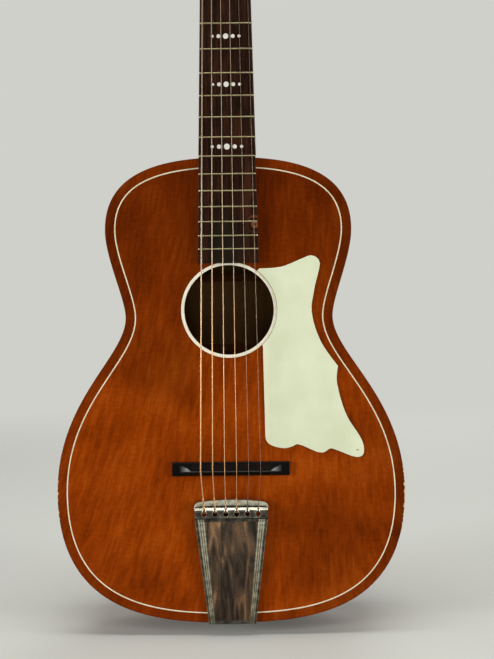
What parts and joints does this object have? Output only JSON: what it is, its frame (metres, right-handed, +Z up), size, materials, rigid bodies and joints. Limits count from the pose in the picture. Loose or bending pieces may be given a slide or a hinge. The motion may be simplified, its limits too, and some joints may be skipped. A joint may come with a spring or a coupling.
{
  "type": "parlor guitar",
  "caption": "Twelve-fret parlor guitar with flat plates, floating bridge, plate tailpiece, strings and worm-gear tuners on a back-tilted headstock.",
  "frame": {"origin": "on the centreline, at the tail edge of the soundboard face, where a stand carries the body", "axes": "+X towards the treble side, +Y from the front to the back, +Z up the neck"},
  "size_m": [0.346, 0.1027, 0.9204],
  "materials": {
    "stained_top": "translucent orange-brown stain under thin gloss lacquer",
    "stained_side": "dark red-brown stain under thin gloss lacquer",
    "bare_spruce": "raw, unfinished",
    "neck_wood": "dark red-brown lacquer",
    "black_wood": "ebonised satin",
    "board_wood": "dark stained, worn satin",
    "ring_plastic": "cream, polished",
    "guard_plastic": "pale cream-green, polished",
    "ivory_plastic": "cream, moulded",
    "bone": "polished",
    "tail_nickel": "aged nickel plate",
    "tuner_nickel": "aged nickel plate",
    "brass": "machined",
    "bronze_wire": "wound wire",
    "steel_wire": "drawn wire"
  },
  "bodies": {
    "root": {"back_brace_1": "bare_spruce", "back_brace_2": "bare_spruce", "back_brace_3": "bare_spruce", "back_brace_4": "bare_spruce", "back_lining_bass": "bare_spruce", "back_lining_treble": "bare_spruce", "back_plate": "stained_side", "bass_rib": "stained_side", "bridge": "black_wood", "end_pin": "black_wood", "fingerboard": "board_wood", "front_brace_1": "bare_spruce", "front_brace_2": "bare_spruce", "front_brace_3": "bare_spruce", "front_lining_bass": "bare_spruce", "front_lining_treble": "bare_spruce", "neck": "neck_wood", "neck_block": "bare_spruce", "nut": "bone", "pickguard": "guard_plastic", "soundboard": "stained_top", "soundhole_ring": "ring_plastic", "string_a": "bronze_wire", "string_b": "steel_wire", "string_d": "bronze_wire", "string_e_high": "steel_wire", "string_e_low": "bronze_wire", "string_g": "bronze_wire", "tail_block": "bare_spruce", "tailpiece": "tail_nickel", "tailpiece_screw_1": "tail_nickel", "tailpiece_screw_2": "tail_nickel", "treble_rib": "stained_side", "tuner_plate_bass": "tuner_nickel", "tuner_plate_treble": "tuner_nickel"},
    "worm_e_low": {"tuner_worm_e_low": "tuner_nickel", "tuner_button_e_low": "ivory_plastic"},
    "post_e_low": {"tuner_post_e_low": "tuner_nickel", "tuner_wheel_e_low": "brass"},
    "worm_a": {"tuner_worm_a": "tuner_nickel", "tuner_button_a": "ivory_plastic"},
    "post_a": {"tuner_post_a": "tuner_nickel", "tuner_wheel_a": "brass"},
    "worm_d": {"tuner_worm_d": "tuner_nickel", "tuner_button_d": "ivory_plastic"},
    "post_d": {"tuner_post_d": "tuner_nickel", "tuner_wheel_d": "brass"},
    "worm_g": {"tuner_worm_g": "tuner_nickel", "tuner_button_g": "ivory_plastic"},
    "post_g": {"tuner_post_g": "tuner_nickel", "tuner_wheel_g": "brass"},
    "worm_b": {"tuner_worm_b": "tuner_nickel", "tuner_button_b": "ivory_plastic"},
    "post_b": {"tuner_post_b": "tuner_nickel", "tuner_wheel_b": "brass"},
    "worm_e_high": {"tuner_worm_e_high": "tuner_nickel", "tuner_button_e_high": "ivory_plastic"},
    "post_e_high": {"tuner_post_e_high": "tuner_nickel", "tuner_wheel_e_high": "brass"}
  },
  "joints": [
    {"name": "worm_e_low_turn", "type": "hinge", "parent": "root", "child": "worm_e_low", "pos_m": [-0.0205, 0.02519, 0.79507], "axis": [1, 0, 0], "continuous": true},
    {"name": "post_e_low_turn", "type": "hinge", "parent": "root", "child": "post_e_low", "pos_m": [-0.0205, 0.02705, 0.80254], "axis": [0, -0.9703, 0.2419], "continuous": true},
    {"name": "worm_a_turn", "type": "hinge", "parent": "root", "child": "worm_a", "pos_m": [-0.0205, 0.03366, 0.82903], "axis": [1, 0, 0], "continuous": true},
    {"name": "post_a_turn", "type": "hinge", "parent": "root", "child": "post_a", "pos_m": [-0.0205, 0.03552, 0.8365], "axis": [0, -0.9703, 0.2419], "continuous": true},
    {"name": "worm_d_turn", "type": "hinge", "parent": "root", "child": "worm_d", "pos_m": [-0.0205, 0.04212, 0.86299], "axis": [1, 0, 0], "continuous": true},
    {"name": "post_d_turn", "type": "hinge", "parent": "root", "child": "post_d", "pos_m": [-0.0205, 0.04398, 0.87046], "axis": [0, -0.9703, 0.2419], "continuous": true},
    {"name": "worm_g_turn", "type": "hinge", "parent": "root", "child": "worm_g", "pos_m": [0.0205, 0.04212, 0.86299], "axis": [1, 0, 0], "continuous": true},
    {"name": "post_g_turn", "type": "hinge", "parent": "root", "child": "post_g", "pos_m": [0.0205, 0.04398, 0.87046], "axis": [0, -0.9703, 0.2419], "continuous": true},
    {"name": "worm_b_turn", "type": "hinge", "parent": "root", "child": "worm_b", "pos_m": [0.0205, 0.03366, 0.82903], "axis": [1, 0, 0], "continuous": true},
    {"name": "post_b_turn", "type": "hinge", "parent": "root", "child": "post_b", "pos_m": [0.0205, 0.03552, 0.8365], "axis": [0, -0.9703, 0.2419], "continuous": true},
    {"name": "worm_e_high_turn", "type": "hinge", "parent": "root", "child": "worm_e_high", "pos_m": [0.0205, 0.02519, 0.79507], "axis": [1, 0, 0], "continuous": true},
    {"name": "post_e_high_turn", "type": "hinge", "parent": "root", "child": "post_e_high", "pos_m": [0.0205, 0.02705, 0.80254], "axis": [0, -0.9703, 0.2419], "continuous": true}
  ],
  "couplings": [
    {"joint": "post_e_low_turn", "follows": "worm_e_low_turn", "ratio": -0.071429},
    {"joint": "post_a_turn", "follows": "worm_a_turn", "ratio": -0.071429},
    {"joint": "post_d_turn", "follows": "worm_d_turn", "ratio": -0.071429},
    {"joint": "post_g_turn", "follows": "worm_g_turn", "ratio": -0.071429},
    {"joint": "post_b_turn", "follows": "worm_b_turn", "ratio": -0.071429},
    {"joint": "post_e_high_turn", "follows": "worm_e_high_turn", "ratio": -0.071429}
  ]
}
